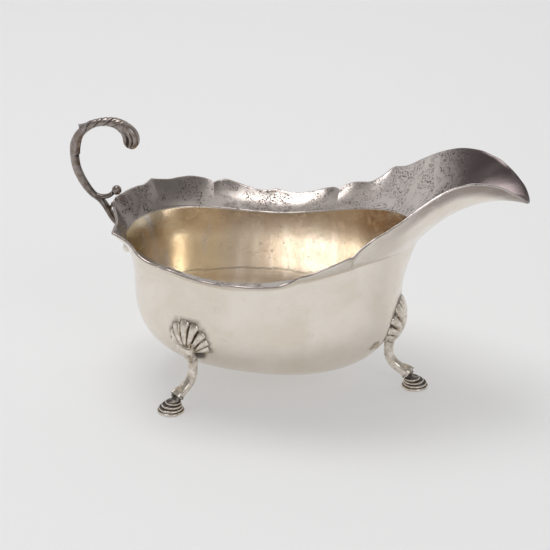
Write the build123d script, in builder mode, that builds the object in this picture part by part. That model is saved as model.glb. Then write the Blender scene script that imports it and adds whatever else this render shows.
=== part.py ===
from build123d import *
import os
from math import copysign, cos, radians, sin

# A three-legged sauce boat. X runs from the handle (-) to the pouring tip (+), Y across,
# Z up. The origin is on the table under the middle of the overall length.

# ---------------------------------------------------------------- driving dimensions, mm
SHEET = 1.0                 # thickness of the raised silver sheet

# Bowl: plan is a superellipse, longer toward the spout as it rises
BOWL_CENTRE_X = -10.75
BOWL_HALF_LENGTH = 53.75    # centre to the rear wall at the widest height
BOWL_FRONT_LENGTH = 52.5    # centre to the front wall, before it rakes forward
BOWL_HALF_WIDTH = 36.2
BOWL_BOTTOM_Z = 7.5
BOWL_WIDEST_Z = 42.0
BOWL_TOP_Z = 68.0           # rough height, cut down to the crease afterwards
PLAN_POWER = 2.3
BELLY_POWER = 3.0
FLAT_SHARE = 0.35           # flat bottom panel, as a share of the full plan
# The end walls lean out above a height: lean, where it starts, height over which it grows
REAR_LEAN, REAR_LEAN_Z, REAR_LEAN_RUN = 3.5, 44.0, 14.0
FRONT_LEAN, FRONT_LEAN_Z, FRONT_LEAN_RUN = 6.2, 30.0, 34.0

# Crease where the bowl turns out into the flared rim
CREASE_LOW_X = -18.0
CREASE_LOW_Z = 54.6
CREASE_REAR_X, CREASE_REAR_RISE = -67.0, 4.0
CREASE_FRONT_X, CREASE_FRONT_RISE = 48.0, 10.4
SHEER_STEP = 13.0           # spacing of the points of the cut that trims the wall
SHEER_DROP = 0.3            # the wall is cut this far under the crease, inside the flare sheet

# Flare and spout, one half: crease angle from the front, edge of the untrimmed sheet
# (x, y, z), and how far the sheet bulges above its straight chord
FLARE_STATIONS = [
    (180, (-71.9, 0.0, 70.4), 0.2),
    (165, (-70.2, 11.8, 72.2), 1.0),
    (150, (-66.6, 25.6, 70.6), 1.0),
    (135, (-58.0, 38.0, 69.0), 0.2),
    (120, (-44.5, 46.4, 65.0), 0.0),
    (105, (-29.5, 49.0, 61.8), -0.4),
    (90, (-11.0, 50.0, 60.2), -0.6),
    (75, (8.0, 50.6, 62.9), -0.4),
    (60, (24.0, 50.8, 70.5), -0.6),
    (47, (36.5, 44.5, 78.6), -1.0),
    (35, (45.6, 36.2, 85.2), -1.2),
    (25, (55.0, 28.5, 91.2), -1.2),
    (17, (64.5, 21.6, 94.8), -0.4),
    (11, (74.0, 15.4, 95.0), 1.6),
    (6, (83.6, 9.4, 90.4), 4.6),
    (2.5, (89.0, 4.2, 85.2), 6.4),
    (0, (91.0, 0.0, 82.9), 6.8),
]
FLARE_SHARES = (0.0, 0.2, 0.4, 0.6, 0.8, 1.0, 1.05)

# Shaped rim in plan, one half: lobes between pointed peaks and notches
RIM_REAR_X = -71.4
PEAK_REAR = (-64.7, 28.2)
NOTCH_REAR = (-42.2, 42.8)
PEAK_MIDDLE = (-17.2, 48.6)
NOTCH_FRONT = (9.4, 45.0)
PEAK_FRONT = (31.0, 49.4)
TIP_X = 90.0

# Handle: flying scroll in the middle plane, as a centre line with section width and depth
HANDLE_PATH = [(-79.2, 70.4), (-84.4, 75.8), (-87.3, 82.0), (-88.2, 88.2), (-86.6, 94.0),
               (-82.4, 98.5), (-76.4, 100.6), (-70.6, 100.5), (-65.6, 98.7), (-63.0, 95.2)]
HANDLE_SECTIONS = [(3.2, 3.0), (3.5, 3.5), (3.6, 3.6), (3.6, 3.6), (3.5, 3.3),
                   (3.3, 2.9), (3.3, 2.6), (3.6, 2.8), (4.2, 3.8), (4.2, 4.4)]
CURL_CENTRE, CURL_RADIUS = (-65.0, 93.0), 2.5
LEAF_FIRST, LEAF_LAST = 4, 8        # sections of the path under the leaf
LEAF_THICK = 0.6
SPUR_PATH = [(-80.6, 71.2), (-77.6, 71.2), (-74.4, 71.9), (-72.0, 73.0)]
SPUR_SECTIONS = [(2.4, 2.0), (2.3, 1.8), (2.1, 1.7), (2.0, 1.8)]
SPUR_BALL = (-71.0, 73.2, 1.85)
BRACKET_PATH = [(-79.8, 69.4), (-76.6, 65.8), (-73.4, 60.8), (-70.4, 56.2), (-67.9, 52.6),
                (-66.5, 50.2)]
BRACKET_SECTIONS = [(2.6, 2.4), (2.7, 2.5), (2.6, 2.4), (2.4, 2.2), (2.2, 2.0), (2.0, 1.8)]
BRACKET_BALL = (-66.4, 49.9, 1.7)

# Legs, each drawn with its foot over the origin and +X pointing away from the bowl
FRONT_FOOT = (48.8, 0.0)
REAR_FOOT = (-40.2, 40.4)
REAR_LEG_TURN = 130          # degrees from +X, mirrored for the other side
REAR_SHELL_TURN = -14        # extra turn that lays the rear shells on the bowl
REAR_SHELL_SIZE = 0.82       # rear shells are smaller than the front one
# Rings of the pad from the table up: centre along the leg, radius, height
PAD_RINGS = [(0.0, 5.3, 1.1), (0.0, 4.7, 1.0), (-0.5, 4.0, 1.0), (-1.2, 3.1, 0.9),
             (-2.2, 1.9, 1.2)]
STEM_PATH = [(-8.6, 23.4), (-10.4, 18.6), (-10.7, 14.4), (-9.1, 10.6), (-6.0, 8.0), (-3.0, 6.4)]
STEM_SECTIONS = [(4.8, 4.4), (4.2, 3.9), (3.9, 3.8), (4.2, 3.6), (5.2, 3.4), (6.4, 2.8)]
HOOF_OUTLINE = [(-4.6, 4.4), (-0.4, 6.4), (0.0, 7.2), (-2.8, 8.6), (-5.6, 9.8), (-7.0, 7.0)]
HOOF_WIDTH = 5.6
SHELL_HUB = (-8.2, 23.2)
SHELL_TILT = 13              # degrees that the shell leans back with the bowl wall
SHELL_RIBS = {0: 16.0, 21: 15.2, 42: 13.2, 63: 11.2, 84: 9.6}
RIB_HALF_WIDTH = 2.3
SHELL_LIFT = 2.6             # how far the hub stands off the wall line
KNUCKLE_RADIUS = 3.0


def smooth_step(share):
    share = min(max(share, 0.0), 1.0)
    return share * share * (3 - 2 * share)


def crease_height(x):
    """Height of the crease above the table at one station along the boat."""
    if x < CREASE_LOW_X:
        share = (CREASE_LOW_X - x) / (CREASE_LOW_X - CREASE_REAR_X)
        return CREASE_LOW_Z + CREASE_REAR_RISE * smooth_step(share)
    share = (x - CREASE_LOW_X) / (CREASE_FRONT_X - CREASE_LOW_X)
    return CREASE_LOW_Z + CREASE_FRONT_RISE * smooth_step(share)


def superellipse(angle, rear, front, half_width):
    """Point on an oval with different half lengths toward the rear and the front."""
    c, s = cos(radians(angle)), sin(radians(angle))
    power = 2 / PLAN_POWER
    length = front if c > 0 else rear
    x = BOWL_CENTRE_X + length * copysign(abs(c) ** power, c)
    return x, half_width * copysign(abs(s) ** power, s)


def bowl_outline(z, inset):
    """Plan points of the bowl wall at one height, drawn in by inset."""
    depth = max(0.0, BOWL_WIDEST_Z - z) / (BOWL_WIDEST_Z - BOWL_BOTTOM_Z - inset)
    full = (1 - min(depth, 0.9999) ** BELLY_POWER) ** (1 / BELLY_POWER)
    full = max(full, FLAT_SHARE)
    rear_lean = REAR_LEAN * (max(0.0, z - REAR_LEAN_Z) / REAR_LEAN_RUN) ** 2
    front_lean = FRONT_LEAN * (max(0.0, z - FRONT_LEAN_Z) / FRONT_LEAN_RUN) ** 2
    rear = BOWL_HALF_LENGTH * full + rear_lean - inset
    front = BOWL_FRONT_LENGTH * full + front_lean - inset
    width = BOWL_HALF_WIDTH * full - inset
    return [superellipse(angle, rear, front, width) for angle in range(0, 360, 15)]


def bowl_levels(inset):
    """Heights of the wall sections, closer together where the wall turns under."""
    deep = BOWL_WIDEST_Z - BOWL_BOTTOM_Z - inset
    shares = (FLAT_SHARE, 0.62, 0.8, 0.91, 0.975)
    lower = [BOWL_WIDEST_Z - deep * (1 - s ** BELLY_POWER) ** (1 / BELLY_POWER) for s in shares]
    return [BOWL_BOTTOM_Z + inset] + lower[1:] + [BOWL_WIDEST_Z - 6, 46, 53, 60, BOWL_TOP_Z]


def flare_point(station, share):
    """Point on the flare's inner skin, share 0 at the crease and 1 at the edge."""
    angle, edge, bulge = station
    rear = BOWL_CENTRE_X - CREASE_REAR_X
    front = CREASE_FRONT_X - BOWL_CENTRE_X
    x, y = superellipse(angle, rear, front, BOWL_HALF_WIDTH - SHEET)
    start = Vector(x, y, crease_height(x))
    chord = start + (Vector(*edge) - start) * share
    return chord + Vector(0, 0, 4 * bulge * share * (1 - share))


def mirrored(station):
    angle, (x, y, z), bulge = station
    return (-angle, (x, -y, z), bulge)


def rail_planes(points):
    """Planes across a rail in the XZ plane, each square to the line of its neighbours."""
    ends = [points[0]] + points + [points[-1]]
    planes = []
    for (x, z), before, after in zip(points, ends, ends[2:]):
        heading = (after[0] - before[0], 0, after[1] - before[1])
        planes.append(Plane(origin=(x, 0, z), x_dir=(0, 1, 0), z_dir=heading))
    return planes


def rail_sections(points, sections, grow=0.0, shift=0.0):
    """Oval faces across a rail, one for each of its points."""
    faces = []
    for plane, (width, depth) in zip(rail_planes(points), sections):
        with BuildSketch(plane) as oval:
            with Locations((0, shift)):
                Ellipse(width / 2 + grow, depth / 2 + grow)
        faces.append(oval.sketch.face())
    return faces


# ---------------------------------------------------------------- bowl with rim and spout
with BuildPart() as flare_half:
    before = [flare_point(mirrored(FLARE_STATIONS[1]), s) for s in FLARE_SHARES]
    after = [flare_point(mirrored(FLARE_STATIONS[-2]), s) for s in FLARE_SHARES]
    rows = [[flare_point(station, s) for s in FLARE_SHARES] for station in FLARE_STATIONS]
    skin = Face.make_surface_from_array_of_points([before] + rows + [after], tol=0.05)
    thicken(skin, amount=SHEET, normal_override=(0, 0, -1))
    with BuildSketch():
        with BuildLine():
            Spline((RIM_REAR_X, 0), (-69.2, 9.4), (-65.8, 19.2), PEAK_REAR,
                   tangents=[(0, 1), (-0.1, 1)])
            Spline(PEAK_REAR, (-58.6, 31.4), (-52.0, 40.0), NOTCH_REAR,
                   tangents=[(1, 0), (1, -0.5)])
            Spline(NOTCH_REAR, (-36.0, 46.4), (-26.0, 46.3), PEAK_MIDDLE,
                   tangents=[(0.5, 1), (1, 0.8)])
            Spline(PEAK_MIDDLE, (-8.6, 46.8), (2.0, 48.8), NOTCH_FRONT,
                   tangents=[(1, -0.8), (0.5, -1)])
            Spline(NOTCH_FRONT, (14.8, 47.6), (23.0, 46.2), PEAK_FRONT,
                   tangents=[(0.5, 1), (1, 0.9)])
            Spline(PEAK_FRONT, (36.8, 41.4), (44.4, 35.1), (57.5, 25.4), (69.0, 17.4),
                   (80.0, 10.9), (87.4, 5.4), (TIP_X, 0), tangents=[(1, -1.6), (0, -1)])
            Line((TIP_X, 0), (RIM_REAR_X, 0))
        make_face()
    extrude(amount=120, mode=Mode.INTERSECT)

with BuildPart() as bowl_form:
    for level in bowl_levels(0):
        with BuildSketch(Plane.XY.offset(level)):
            with BuildLine():
                Spline(*bowl_outline(level, 0), periodic=True)
            make_face()
    loft()

with BuildPart() as bowl:
    add(bowl_form.part)
    for level in bowl_levels(SHEET):
        with BuildSketch(Plane.XY.offset(level)):
            with BuildLine():
                Spline(*bowl_outline(level, SHEET), periodic=True)
            make_face()
    loft(mode=Mode.SUBTRACT)
    with BuildSketch(Plane.XZ):
        with BuildLine():
            stations = [CREASE_REAR_X - 6 + step * SHEER_STEP for step in range(10)]
            sheer = Spline(*[(x, crease_height(x) - SHEER_DROP) for x in stations])
            above = BOWL_TOP_Z + 5
            Polyline(sheer @ 1, ((sheer @ 1).X, above), ((sheer @ 0).X, above), sheer @ 0)
        make_face()
    extrude(amount=60, both=True, mode=Mode.SUBTRACT)
    add(flare_half.part)
    mirror(flare_half.part, about=Plane.XZ)

# ---------------------------------------------------------------- handle
with BuildPart() as handle_spur:
    loft(rail_sections(SPUR_PATH, SPUR_SECTIONS))
    with Locations((SPUR_BALL[0], 0, SPUR_BALL[1])):
        Sphere(SPUR_BALL[2])
    add(bowl.part, mode=Mode.SUBTRACT)

with BuildPart() as handle_bracket:
    loft(rail_sections(BRACKET_PATH, BRACKET_SECTIONS))
    with Locations((BRACKET_BALL[0], 0, BRACKET_BALL[1])):
        Sphere(BRACKET_BALL[2])
    add(bowl.part, mode=Mode.SUBTRACT)

with BuildPart() as handle_scroll:
    loft(rail_sections(HANDLE_PATH, HANDLE_SECTIONS))
    with Locations((CURL_CENTRE[0], 0, CURL_CENTRE[1])):
        Sphere(CURL_RADIUS)
    add(handle_spur.part, mode=Mode.SUBTRACT)
    add(handle_bracket.part, mode=Mode.SUBTRACT)

with BuildPart() as handle_leaf:
    covered = slice(LEAF_FIRST, LEAF_LAST + 1)
    loft(rail_sections(HANDLE_PATH[covered], HANDLE_SECTIONS[covered], LEAF_THICK, LEAF_THICK))
    add(handle_scroll.part, mode=Mode.SUBTRACT)

# ---------------------------------------------------------------- leg pieces, before placing
with BuildPart() as shell:
    for spread, length in SHELL_RIBS.items():
        for angle in {spread, -spread}:
            run = Vector(-SHELL_LIFT / length, 0, 1).rotate(Axis.X, -angle).normalized()
            across = Vector(1, 0, 0).cross(run).normalized()
            with BuildSketch(Plane(origin=(0, 0, 0), x_dir=run, z_dir=run.cross(across))):
                with BuildLine():
                    edge = Spline((0, 0.7), (0.45 * length, 0.75 * RIB_HALF_WIDTH),
                                  (0.8 * length, RIB_HALF_WIDTH * length / 16), (length, 0),
                                  tangents=[(1, 0.2), (0, -1)])
                    Polyline(edge @ 1, (0, 0), edge @ 0)
                make_face()
            revolve(axis=Axis((0, 0, 0), run))
    Sphere(KNUCKLE_RADIUS)

with BuildPart() as foot_pad:
    pad_top = 0
    for centre, radius, height in PAD_RINGS:
        with BuildSketch(Plane.XY.offset(pad_top)):
            with Locations((centre, 0)):
                Circle(radius)
        extrude(amount=height)
        pad_top += height

with BuildPart() as leg:
    loft(rail_sections(STEM_PATH, STEM_SECTIONS))
    with BuildSketch(Plane.XZ):
        with BuildLine():
            Polyline(*HOOF_OUTLINE, close=True)
        make_face()
    extrude(amount=HOOF_WIDTH / 2, both=True)
    add(foot_pad.part, mode=Mode.SUBTRACT)

# ---------------------------------------------------------------- placing and writing
pieces = {
    "bowl": bowl.part,
    "handle_scroll": handle_scroll.part,
    "handle_leaf": handle_leaf.part,
    "handle_spur": handle_spur.part,
    "handle_bracket": handle_bracket.part,
}
legs = {
    "front": (FRONT_FOOT, 0, 0, 1.0),
    "left": (REAR_FOOT, REAR_LEG_TURN, REAR_SHELL_TURN, REAR_SHELL_SIZE),
}
for side, ((foot_x, foot_y), turn, shell_turn, size) in legs.items():
    place = Location((foot_x, foot_y, 0), (0, 0, turn))
    hub = Location((SHELL_HUB[0], 0, SHELL_HUB[1]), (0, SHELL_TILT, shell_turn))
    knuckle = place * hub * scale(shell.part, by=size) - bowl_form.part
    pieces[f"leg_{side}"] = place * leg.part - knuckle - bowl_form.part
    pieces[f"leg_shell_{side}"] = knuckle
    pieces[f"foot_pad_{side}"] = place * foot_pad.part
for kind in ("leg", "leg_shell", "foot_pad"):
    pieces[f"{kind}_right"] = mirror(pieces[f"{kind}_left"], about=Plane.XZ)

os.makedirs("parts", exist_ok=True)
for name, piece in pieces.items():
    piece.label = name
    export_step(piece, f"parts/{name}.step")
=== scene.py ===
"""Footed sauce boat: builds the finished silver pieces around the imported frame."""

from math import acos, atan2, ceil, copysign, cos, exp, hypot, pi, radians, sin, sqrt

import bmesh
import bpy
from bpy.props import FloatProperty, FloatVectorProperty, IntProperty, PointerProperty
from mathutils import Matrix, Vector, noise


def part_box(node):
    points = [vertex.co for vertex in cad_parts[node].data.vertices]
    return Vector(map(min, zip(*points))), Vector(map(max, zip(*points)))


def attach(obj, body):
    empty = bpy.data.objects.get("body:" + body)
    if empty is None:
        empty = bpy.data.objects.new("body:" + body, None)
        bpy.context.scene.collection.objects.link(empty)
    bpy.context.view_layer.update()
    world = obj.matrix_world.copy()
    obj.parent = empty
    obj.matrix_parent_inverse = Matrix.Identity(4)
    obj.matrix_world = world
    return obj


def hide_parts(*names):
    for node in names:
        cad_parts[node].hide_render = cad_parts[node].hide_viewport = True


bl_info = {
    "name": "Sauce boat",
    "version": (1, 0, 0),
    "blender": (4, 5, 0),
    "location": "3D View > Sidebar > Sauce boat",
    "description": "Builds a three-legged silver sauce boat around its packed frame",
    "category": "Object",
}

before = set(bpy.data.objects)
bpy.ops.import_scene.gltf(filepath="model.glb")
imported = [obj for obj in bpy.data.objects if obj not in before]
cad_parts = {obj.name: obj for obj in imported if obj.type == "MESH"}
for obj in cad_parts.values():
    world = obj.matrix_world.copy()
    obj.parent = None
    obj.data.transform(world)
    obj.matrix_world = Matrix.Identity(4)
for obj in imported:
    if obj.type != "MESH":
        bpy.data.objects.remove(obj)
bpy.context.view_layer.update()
MM = 0.001


def frame_box(node):
    """Lowest and highest corner of a node of the frame, in millimetres."""
    low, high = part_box(node)
    return Vector(low) / MM, Vector(high) / MM


# Outer sizes taken from the frame, in millimetres
BOWL_LOW, BOWL_HIGH = frame_box("bowl")
TIP_X = BOWL_HIGH.x
RIM_REAR_X = BOWL_LOW.x
BOWL_BOTTOM_Z = BOWL_LOW.z

# Bowl: an oval that is longer toward the spout as it rises
BOWL_CENTRE_X = -10.75
BOWL_HALF_LENGTH = 52.3
BOWL_FRONT_LENGTH = 52.5
BOWL_HALF_WIDTH = 36.2
BOWL_WIDEST_Z = 42.0
REAR_LEAN, REAR_LEAN_FROM_Z, REAR_LEAN_RISE = 3.5, 44, 14       # wall moved out toward the handle
FRONT_LEAN, FRONT_LEAN_FROM_Z, FRONT_LEAN_RISE = 6.2, 30, 34    # and toward the spout
PLAN_POWER = 2.3
BELLY_POWER = 3.0
CREASE_LOW_X, CREASE_LOW_Z = -18.0, 54.6
CREASE_REAR_X, CREASE_REAR_RISE = -66.4, 4.0
CREASE_FRONT_X, CREASE_FRONT_RISE = 48.0, 10.4

# Flare and spout: crease angle from the front, edge of the untrimmed sheet, bulge of its section
FLARE_STATIONS = [
    (180, (-71.9, 0.0, 70.4), 0.2),
    (165, (-70.2, 11.8, 72.2), 1.0),
    (150, (-66.6, 25.6, 70.6), 1.0),
    (135, (-58.0, 38.0, 69.0), 0.2),
    (120, (-44.5, 46.4, 65.0), 0.0),
    (105, (-29.5, 49.0, 61.8), -0.4),
    (90, (-11.0, 50.0, 60.2), -0.6),
    (75, (8.0, 50.6, 62.9), -0.4),
    (60, (24.0, 50.8, 70.5), -0.6),
    (47, (36.5, 44.5, 78.6), -1.0),
    (35, (45.6, 36.2, 85.2), -1.2),
    (25, (55.0, 28.5, 91.2), -1.2),
    (17, (64.5, 21.6, 94.8), -0.4),
    (11, (74.0, 15.4, 95.0), 1.6),
    (6, (83.6, 9.4, 90.4), 4.6),
    (2.5, (89.0, 4.2, 85.2), 6.4),
    (0, (91.0, 0.0, 82.9), 6.8),
]

# Shaped rim, one half, in runs that meet at the pointed peaks and notches
PEAK_REAR = (-64.6, 28.2, 67.9)
NOTCH_REAR = (-42.2, 42.8, 62.3)
PEAK_MIDDLE = (-17.2, 48.5, 59.5)
NOTCH_FRONT = (9.4, 44.9, 62.5)
PEAK_FRONT = (31.0, 49.4, 73.0)
RIM_RUNS = [
    [(RIM_REAR_X, 0.0, 69.7), (-70.6, 4.5, 69.7), (-69.0, 9.4, 69.7), (-66.8, 14.9, 69.3),
     (-65.3, 19.1, 68.5), (-65.0, 24.0, 67.9), PEAK_REAR],
    [PEAK_REAR, (-62.6, 29.0, 67.5), (-58.2, 31.9, 66.6), (-54.8, 35.9, 66.2),
     (-51.7, 40.1, 65.4), (-48.2, 42.6, 64.3), (-45.2, 43.4, 63.4), NOTCH_REAR],
    [NOTCH_REAR, (-40.6, 44.9, 62.6), (-37.6, 46.3, 62.7), (-31.9, 46.7, 61.0),
     (-25.0, 46.3, 59.3), (-20.6, 47.0, 59.1), PEAK_MIDDLE],
    [PEAK_MIDDLE, (-13.6, 47.2, 59.0), (-8.0, 47.0, 58.9), (-2.0, 48.0, 59.8),
     (3.4, 49.2, 61.2), (7.0, 48.0, 62.2), NOTCH_FRONT],
    [NOTCH_FRONT, (11.5, 46.8, 64.0), (15.4, 47.7, 65.3), (19.2, 46.2, 66.3),
     (22.8, 44.8, 67.4), (27.2, 46.4, 70.0), PEAK_FRONT],
    [PEAK_FRONT, (33.4, 45.2, 74.6), (36.9, 40.8, 76.7), (41.1, 37.8, 79.7), (44.4, 35.1, 82.5),
     (51.0, 30.3, 87.4), (57.5, 25.4, 91.3), (62.7, 21.5, 93.5), (69.0, 17.4, 94.6),
     (72.9, 15.1, 94.2), (76.6, 13.2, 93.4), (80.0, 10.9, 91.9), (83.1, 9.1, 89.9),
     (85.5, 7.4, 88.0), (87.7, 5.5, 86.0), (89.4, 2.6, 83.6), (TIP_X, 0.0, 82.7)],
]

# Bent stretch of the lip on the right side, and how far it goes in for each millimetre up
BEND_HEIGHT, BEND_INWARD = 9, 1.6
BEND_START_X, BEND_START_SPAN = 4, 18
BEND_END_X, BEND_END_SPAN = 36, 12

# Where the tarnish and the painted shade change, in metres along one axis: the two ends of each soft
# border
BELLY_FILM_Z = (0.03, 0.01)
GOLD_X = (-0.03, -0.042)
UMBER_Z, UMBER_X = (0.043, 0.056), (-0.05, -0.02)
THROAT_X, THROAT_Z = (0.014, 0.03), (0.043, 0.058)
SPOUT_GREY_X = (0.01, 0.034)
# Painted shade: the upper part of the flare, away from the spout, is darkened in colour
FLARE_TOP_SHADE_Z, FLARE_TOP_SHADE_X = (0.055, 0.062), (0.03, 0.008)
# Painted shade: the flare toward the handle is darkened in colour
REAR_FLARE_SHADE_X = (-0.03, -0.056)
# Painted shade: the end of the spout is darkened in colour
TIP_SHADE_X = (0.05, 0.07)
TIDE_LOW, TIDE_HIGH = (0.0308, 0.0313), (0.0321, 0.0316)
PITTED_X = (0.076, 0.058)
BRACKET_CLEAN_Z = (0.056, 0.053)
STEM_DARK_Z = (0.078, 0.07)

# Stage, in metres
TENT_COLOUR = (1.0, 0.99, 0.975, 1.0)
KEY_PLACE, KEY_SIZE = (-0.25, 0.1, 1.3), 0.7
FILL_PLACE, FILL_SIZE, FILL_SHARE = (0.9, -0.9, 0.9), 0.6, 0.3
FLOOR_HALF, FLOOR_BEND_Y, FLOOR_BEND_RADIUS, BACKDROP_TOP = 3.0, 1.2, 0.8, 3.0
FLOOR_COLUMNS = 9


# ---------------------------------------------------------------- shader expressions
class Signal:
    """A shader socket that takes part in Python arithmetic."""

    def __init__(self, finish, socket):
        self.finish, self.socket = finish, socket

    def _math(self, operation, *values):
        return self.finish.add("ShaderNodeMath", {"operation": operation}, dict(enumerate(values)))

    def __add__(self, other):
        return self._math("ADD", self, other)

    def __sub__(self, other):
        return self._math("SUBTRACT", self, other)

    def __rsub__(self, other):
        return self._math("SUBTRACT", other, self)

    def __mul__(self, other):
        return self._math("MULTIPLY", self, other)

    __radd__, __rmul__ = __add__, __mul__

    def most(self, other):
        return self._math("MAXIMUM", self, other)

    def step(self, low, high):
        """0 below low, 1 above high, smooth between. low may be the larger."""
        return self.finish.add("ShaderNodeMapRange", {"interpolation_type": "SMOOTHSTEP"},
                               {"Value": self, "From Min": low, "From Max": high})


class Finish:
    """A node tree being written, for a material or the world."""

    def __init__(self, owner):
        owner.use_nodes = True
        self.tree = owner.node_tree
        self.tree.nodes.clear()

    def add(self, kind, settings=None, sockets=None, output=0):
        node = self.tree.nodes.new(kind)
        for name, value in (settings or {}).items():
            setattr(node, name, value)
        for name, value in (sockets or {}).items():
            if isinstance(value, Signal):
                self.tree.links.new(value.socket, node.inputs[name])
            else:
                node.inputs[name].default_value = value
        return Signal(self, node.outputs[output]) if node.outputs else None

    def mix(self, factor, first, second):
        """Colour mix. Plain colours are three numbers."""
        pair = [c if isinstance(c, Signal) else (*c, 1.0) for c in (first, second)]
        return self.add("ShaderNodeMix", {"data_type": "RGBA"}, {0: factor, 6: pair[0], 7: pair[1]}, 2)

    def attribute(self, name):
        return self.add("ShaderNodeAttribute", {"attribute_name": name}, output="Fac")

    def place(self):
        return self.add("ShaderNodeTexCoord", output="Object")

    def axis(self, vector, name):
        return self.add("ShaderNodeSeparateXYZ", sockets={0: vector}, output=name)

    def stretched(self, vector, scale):
        return self.add("ShaderNodeVectorMath", {"operation": "MULTIPLY"}, {0: vector, 1: scale})

    def grain(self, vector, cycles, detail=3.0, rough=0.55, warp=0.0):
        """Noise from 0 to 1. cycles is per millimetre."""
        return self.add("ShaderNodeTexNoise", sockets={
            "Vector": vector, "Scale": cycles / MM, "Detail": detail, "Roughness": rough,
            "Distortion": warp})

    def cells(self, vector, cycles):
        """Distance from the nearest of scattered points, in cells."""
        return self.add("ShaderNodeTexVoronoi", sockets={"Vector": vector, "Scale": cycles / MM})

    def bump(self, height, strength, depth_mm, below=None):
        sockets = {"Height": height, "Strength": strength, "Distance": depth_mm * MM}
        if below is not None:
            sockets["Normal"] = below
        return self.add("ShaderNodeBump", sockets=sockets)

    def metal(self, colour, rough, normal):
        surface = self.add("ShaderNodeBsdfPrincipled", sockets={
            "Base Color": colour, "Metallic": 1.0, "Roughness": rough, "Normal": normal})
        self.add("ShaderNodeOutputMaterial", sockets={"Surface": surface})


def sheet_silver(look):
    """Raised sheet: clean outside, brown inside, grey and pitted over the rim and spout. Painted shade
    darkens the upper flare, the flare beside the handle, the spout's tip and the wall around the
    castings; a painted highlight lightens the rim edge toward the spout.
    """
    material = bpy.data.materials.new("tarnished_sheet")
    f = Finish(material)
    place = f.place()
    x, y, z = (f.axis(place, name) for name in "XYZ")
    inside, flare, edge, lip, joint_tarnish_and_shade = (
        f.attribute(name) for name in ("inside", "flare", "edge", "lip", "joint_tarnish_and_shade"))
    cloud = f.grain(place, 0.045, 4.0, 0.6, 0.4)
    mottle = f.grain(place, 0.34, 5.0, 0.65)
    blotch = f.grain(place, 0.13, 4.0, 0.6, 0.8)
    streak = f.grain(f.stretched(place, (1.0, 1.0, 0.14)), 0.11, 3.0, 0.5)
    fine = f.grain(place, 2.4, 4.0, 0.6)
    flecks = f.grain(place, 1.45, 2.0, 0.5, 0.4)

    clean = f.mix(cloud.step(0.35, 0.7), look.silver, look.warm_silver)
    clean = f.mix(z.step(*BELLY_FILM_Z) * 0.5, clean, look.warm_silver)
    clean = f.mix(lip * blotch.step(0.1, 0.45), clean, look.lip_brown)
    brown = f.mix(streak.step(0.4, 0.62), look.tarnish_light, look.tarnish_brown)
    # Bright gold streaks toward the rear of the inside
    gold = streak.step(0.42, 0.5) * x.step(*GOLD_X)
    brown = f.mix(gold * 0.9, brown, look.gold_streak)
    band = z.step(*UMBER_Z) * blotch.step(0.34, 0.5) * x.step(*UMBER_X)
    brown = f.mix(band * 0.8, brown, look.tarnish_umber)
    throat = x.step(*THROAT_X) * z.step(*THROAT_Z) * mottle.step(0.34, 0.56)
    brown = f.mix(throat * 0.85, brown, look.tarnish_rust)
    grey = f.mix(blotch.step(0.36, 0.62), look.rim_grey, look.rim_purple)
    grey = f.mix(x.step(*SPOUT_GREY_X) * 0.75, grey, look.rim_light)
    # Painted shade: the upper part of the flare, away from the spout, is darkened in colour
    grey = f.mix(z.step(*FLARE_TOP_SHADE_Z) * x.step(*FLARE_TOP_SHADE_X) * 0.62, grey, look.rim_painted_shade)
    # Painted shade: the flare toward the handle is darkened in colour
    grey = f.mix(x.step(*REAR_FLARE_SHADE_X) * 0.6, grey, look.rim_painted_shade)
    # Painted shade: the end of the spout is darkened in colour
    grey = f.mix((x + blotch * 0.008).step(*TIP_SHADE_X), grey, look.tip_painted_shade)
    colour = f.mix(inside, clean, brown)
    colour = f.mix(flare, colour, grey)

    tide = blotch * 0.004 + z
    line = tide.step(*TIDE_LOW) * tide.step(*TIDE_HIGH) * fine.step(0.4, 0.52)
    line = line * y.step(0.0, 0.01)
    patch = blotch.step(0.4, 0.56) * x.step(*PITTED_X)
    pits = (flecks.step(0.555, 0.6) * patch).most(f.cells(place, 0.9).step(0.26, 0.16) * patch)
    specks = f.grain(place, 0.8, 4.0, 0.65, 1.2).step(0.62, 0.67) * blotch.step(0.42, 0.5)
    spotted = (flare * pits).most(inside * specks * 0.55).most(specks * 0.16)
    # Dark border around the castings: partly tarnish, partly painted shade
    dark = spotted.most(line * inside * 0.55).most(joint_tarnish_and_shade * mottle.step(0.15, 0.5))
    colour = f.mix(dark * 0.82, colour, look.tarnish_black)
    # Rim edge: purple, lightened toward the spout as a painted highlight and darkened at the tip as
    # painted shade
    edge_colour_and_painted_light = f.mix(x.step(0.035, 0.055) * mottle.step(0.35, 0.5), look.rim_purple, look.rim_light)
    edge_colour_and_painted_light = f.mix(y.step(-0.012, 0.0) * x.step(0.05, 0.06), edge_colour_and_painted_light, look.tip_painted_shade)
    colour = f.mix(edge, colour, edge_colour_and_painted_light)

    rough = 0.13 + inside * 0.03 + flare * 0.1 + mottle * 0.1 + dark * 0.3 + lip * 0.08
    scratch = f.grain(f.stretched(place, (0.22, 1.0, 1.0)), 1.6, 4.0, 0.7)
    normal = f.bump(pits, 0.6, -0.05)
    normal = f.bump(mottle, 0.25, 0.05, normal)
    normal = f.bump(fine * 0.5 + scratch * 0.5, 0.22, 0.012, normal)
    f.metal(colour, rough, normal)
    return material


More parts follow.
